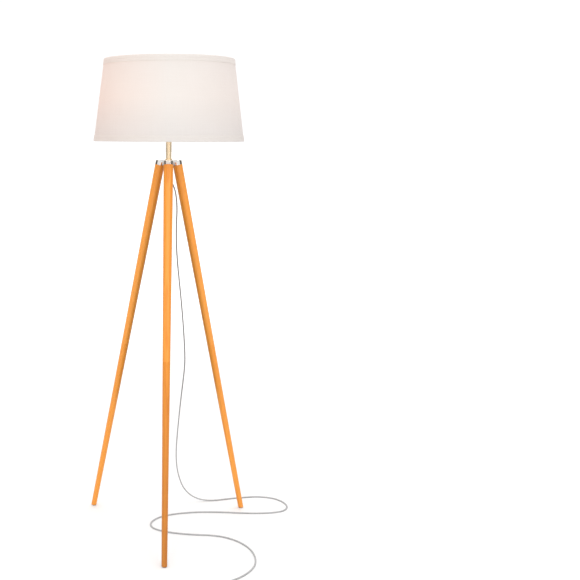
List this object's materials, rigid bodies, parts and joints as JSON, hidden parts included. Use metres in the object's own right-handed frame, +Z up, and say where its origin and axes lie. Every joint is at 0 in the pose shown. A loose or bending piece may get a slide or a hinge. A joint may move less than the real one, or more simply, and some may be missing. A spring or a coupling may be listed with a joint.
{
  "type": "floor lamp",
  "caption": "Tripod floor lamp with turned wooden legs screwed into a bright metal hub, a brass neck, a tapered drum shade and a free mains cord with its plug.",
  "frame": {"origin": "middle of the lamp's outline on the floor, measured without the cord; the lamp's upright axis stands 37 mm behind it, at y = +0.037 m", "axes": "+Z up from the floor along the lamp's neck; -Y towards the leg that points forwards; +X to the right seen from the front"},
  "size_m": [0.6952, 0.7207, 1.524],
  "materials": {
    "wood": "satin clear lacquer over honey-toned turned beech",
    "chrome": "polished chrome plate",
    "brass": "polished brass plate",
    "steel": "zinc-plated steel",
    "phenolic": "moulded black phenolic",
    "insulating_sleeve": "pressed fibre sleeve",
    "shade_cloth": "off-white plain-weave linen blend",
    "shade_hem": "same cloth folded into a hem band",
    "shade_lining": "white styrene lining, matte",
    "shade_wire": "white powder-coated steel wire",
    "bulb_shell": "white moulded polycarbonate",
    "bulb_diffuser": "frosted white diffuser",
    "board": "white solder mask on an aluminium board",
    "pad": "dark grey glide",
    "cord_jacket": "silver-grey clear vinyl twin cord",
    "plug_vinyl": "silver-grey moulded vinyl",
    "bushing_nylon": "grey moulded nylon",
    "wire_insulation": "clear vinyl over copper"
  },
  "bodies": {
    "root": {"cord_bushing": "bushing_nylon", "foot_pads": "pad", "hub_casting": "chrome", "hub_leg_studs": "steel", "hub_lock_washer": "steel", "hub_nut": "steel", "inner_leads": "wire_insulation", "leg_joint_inserts": "steel", "leg_joint_studs": "steel", "leg_lower_front": "wood", "leg_lower_rear_left": "wood", "leg_lower_rear_right": "wood", "leg_upper_front": "wood", "leg_upper_rear_left": "wood", "leg_upper_rear_right": "wood", "neck_check_ring": "brass", "neck_collar": "brass", "neck_nipple": "steel", "neck_tube": "brass", "plug_blades": "steel", "plug_body": "plug_vinyl", "plug_strain_relief": "plug_vinyl", "power_cord": "cord_jacket", "socket_body": "phenolic", "socket_center_contact": "brass", "socket_cup": "phenolic", "socket_insulator": "insulating_sleeve", "socket_screw_shell": "brass", "socket_terminal_screws": "brass", "switch_housing": "phenolic"},
    "shade": {"shade_fabric": "shade_cloth", "shade_liner": "shade_lining", "shade_top_trim": "shade_hem", "shade_bottom_trim": "shade_hem", "shade_top_wire": "shade_wire", "shade_bottom_wire": "shade_wire", "shade_spider": "shade_wire"},
    "shade_ring": {"shade_ring_nut": "phenolic"},
    "bulb": {"bulb_tip_contact": "steel", "bulb_base_insulator": "phenolic", "bulb_screw_cap": "steel", "bulb_housing": "bulb_shell", "led_board": "board", "bulb_globe": "bulb_diffuser"},
    "switch": {"switch_knob": "phenolic", "switch_shaft": "brass"}
  },
  "joints": [
    {"name": "shade_turn", "type": "hinge", "parent": "root", "child": "shade", "pos_m": [0, 0.037, 1.333], "axis": [0, 0, 1], "continuous": true},
    {"name": "ring_turn", "type": "hinge", "parent": "root", "child": "shade_ring", "pos_m": [0, 0.037, 1.338], "axis": [0, 0, 1], "continuous": true},
    {"name": "bulb_lift", "type": "slide", "parent": "root", "child": "bulb", "axis": [0, 0, 1], "range_m": [0, 0.23]},
    {"name": "switch_turn", "type": "hinge", "parent": "root", "child": "switch", "pos_m": [0, 0.037, 1.304], "axis": [1, 0, 0], "continuous": true}
  ]
}
